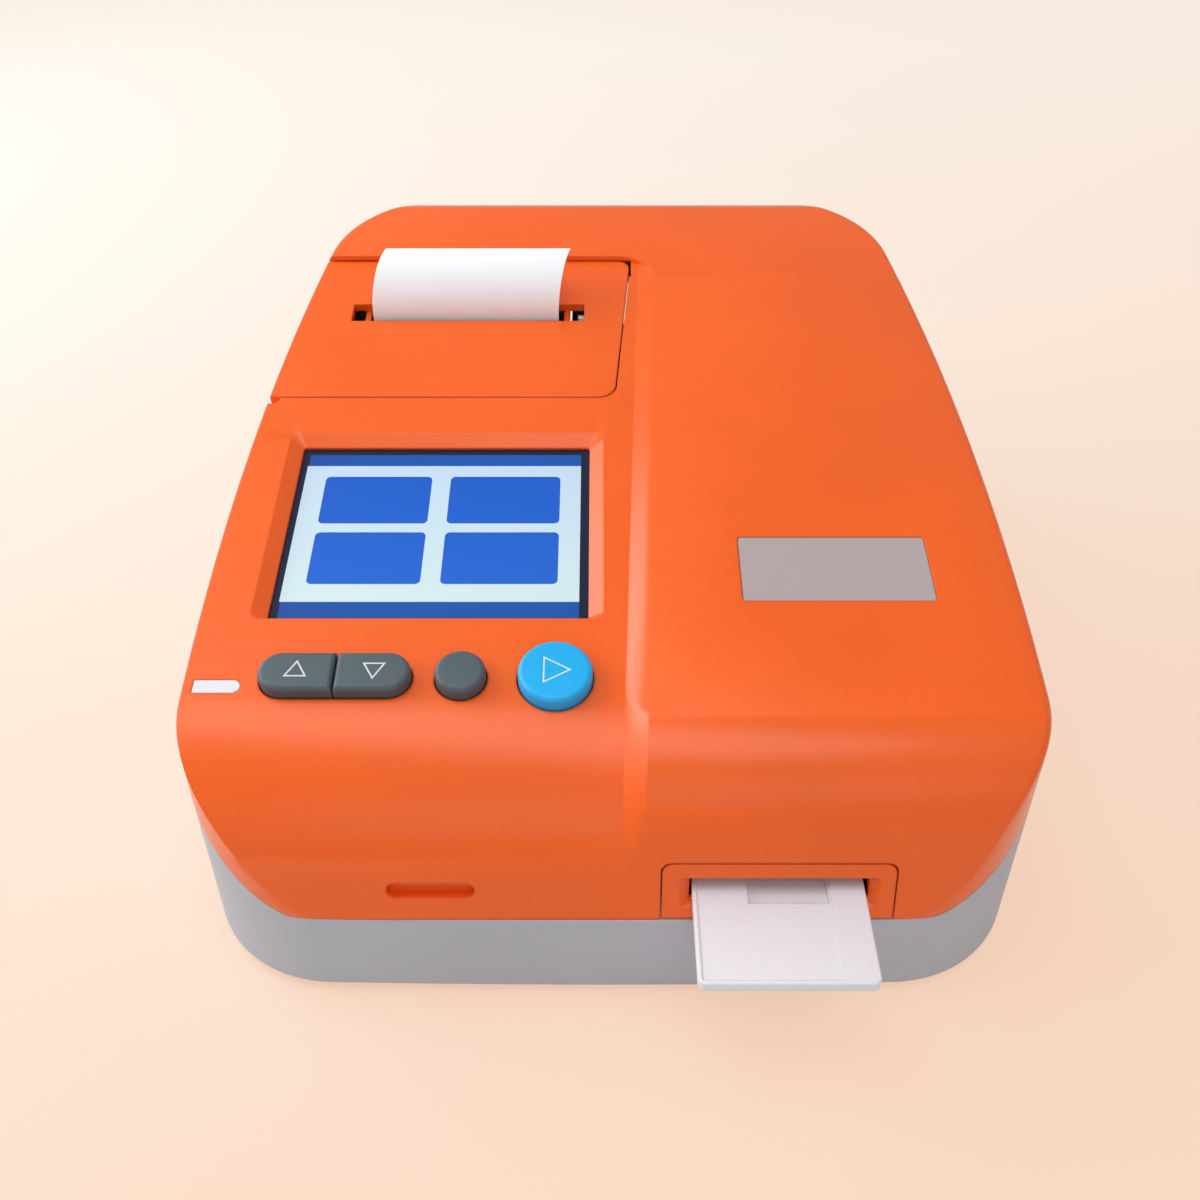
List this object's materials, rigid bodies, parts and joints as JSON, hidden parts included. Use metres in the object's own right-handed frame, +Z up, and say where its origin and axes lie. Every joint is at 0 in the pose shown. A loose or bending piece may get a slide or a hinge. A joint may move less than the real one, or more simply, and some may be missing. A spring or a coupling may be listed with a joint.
{
  "type": "rapid test reader",
  "caption": "Bench-top reader for rapid test cassettes: sloping two-part housing with a motorised sample drawer, colour screen, key row and strip printer under a hinged door.",
  "frame": {"origin": "centre of the bounding box's underside, on the surface the feet stand on", "axes": "+Z up, -Y towards the user (the drawer's side), +X to the right seen from the front"},
  "size_m": [0.2076, 0.2638, 0.1061],
  "materials": {
    "orange": "fine matt moulded texture",
    "tub_grey": "fine matt moulded texture",
    "tray_white": "smooth satin",
    "key_grey": "satin",
    "key_blue": "satin",
    "screen_glass": "glossy",
    "light_lens": "translucent, glossy",
    "plate_silver": "satin",
    "paper": "smooth matt paper",
    "foam": "matt foam",
    "black_plastic": "fine matt",
    "inner_grey": "matt moulding",
    "steel": "bright zinc-plated",
    "board_green": "solder mask",
    "chip_black": "matt",
    "roller_rubber": "matt",
    "gear_nylon": "semi-matt",
    "card": "matt card tube",
    "lens_clear": "polished",
    "brass": "plain",
    "feet_rubber": "matt"
  },
  "bodies": {
    "housing": {"base_tub": "tub_grey", "top_cover": "orange", "door_hinge_pins": "steel", "feed_motor": "steel", "printer_frame": "inner_grey", "print_head": "black_plastic", "roll_spindle": "inner_grey", "paper_web": "paper", "display_glass": "screen_glass", "display_gasket": "foam", "display_module": "black_plastic", "display_carrier": "inner_grey", "key_switches": "chip_black", "key_board": "board_green", "key_board_screws": "steel", "status_light": "light_lens", "light_board": "board_green", "rating_plate": "plate_silver", "tray_bezel": "orange", "tray_guide": "inner_grey", "tray_motor": "steel", "optics_housing": "black_plastic", "optics_lens": "lens_clear", "test_lamp": "lens_clear", "detector_board": "board_green", "light_sensor": "steel", "chassis_plate": "steel", "chassis_screws": "steel", "board_standoffs": "brass", "main_board": "board_green", "main_board_chips": "chip_black", "power_board": "board_green", "power_parts": "chip_black", "board_screws": "steel", "cell_holder": "black_plastic", "coin_cell": "steel", "speaker": "black_plastic", "power_inlet": "black_plastic", "serial_port": "steel", "usb_port": "steel", "power_switch": "black_plastic", "rubber_feet": "feet_rubber", "case_screws": "steel"},
    "drawer": {"tray": "tray_white"},
    "drawer_pinion": {"tray_pinion": "gear_nylon"},
    "door": {"printer_door": "orange", "tear_bar": "steel", "paper_strip": "paper"},
    "platen": {"platen_roller": "roller_rubber", "platen_gear": "gear_nylon"},
    "feed": {"feed_gear": "gear_nylon", "feed_shaft": "steel"},
    "roll": {"paper_roll": "paper", "roll_core": "card"},
    "up_key": {"key_up": "key_grey"},
    "down_key": {"key_down": "key_grey"},
    "select_key": {"key_select": "key_grey"},
    "start_key": {"key_start": "key_blue"},
    "rocker": {"power_rocker": "black_plastic"}
  },
  "joints": [
    {"name": "drawer_slide", "type": "slide", "parent": "housing", "child": "drawer", "axis": [0, -1, 0], "range_m": [-0.024, 0.066]},
    {"name": "pinion_spin", "type": "hinge", "parent": "housing", "child": "drawer_pinion", "pos_m": [0.0121, -0.07636, 0.034], "axis": [0, 0, 1], "range_deg": [-650, 250]},
    {"name": "door_hinge", "type": "hinge", "parent": "housing", "child": "door", "pos_m": [0, 0.09127, 0.08947], "axis": [-1, 0, 0], "range_deg": [0, 70]},
    {"name": "platen_spin", "type": "hinge", "parent": "door", "child": "platen", "pos_m": [-0.0442, 0.07001, 0.0847], "axis": [1, 0, 0], "continuous": true},
    {"name": "feed_spin", "type": "hinge", "parent": "housing", "child": "feed", "pos_m": [-0.008, 0.07195, 0.07316], "axis": [1, 0, 0], "continuous": true},
    {"name": "roll_spin", "type": "hinge", "parent": "housing", "child": "roll", "pos_m": [-0.0442, 0.04664, 0.05], "axis": [1, 0, 0], "continuous": true},
    {"name": "up_key_press", "type": "slide", "parent": "housing", "child": "up_key", "axis": [0, 0.165, -0.9863], "range_m": [0, 0.001], "stiffness_N_per_m": 400},
    {"name": "down_key_press", "type": "slide", "parent": "housing", "child": "down_key", "axis": [0, 0.165, -0.9863], "range_m": [0, 0.001], "stiffness_N_per_m": 400},
    {"name": "select_key_press", "type": "slide", "parent": "housing", "child": "select_key", "axis": [0, 0.165, -0.9863], "range_m": [0, 0.001], "stiffness_N_per_m": 400},
    {"name": "start_key_press", "type": "slide", "parent": "housing", "child": "start_key", "axis": [0, 0.165, -0.9863], "range_m": [0, 0.001], "stiffness_N_per_m": 400},
    {"name": "rocker_tilt", "type": "hinge", "parent": "housing", "child": "rocker", "pos_m": [0.042, 0.12344, 0.027], "axis": [0, 0, -1], "range_deg": [0, 14]}
  ],
  "couplings": [
    {"joint": "pinion_spin", "follows": "drawer_slide", "rad_per_m": -163.93},
    {"joint": "platen_spin", "follows": "roll_spin", "ratio": -6.875},
    {"joint": "feed_spin", "follows": "roll_spin", "ratio": 2.9464}
  ]
}
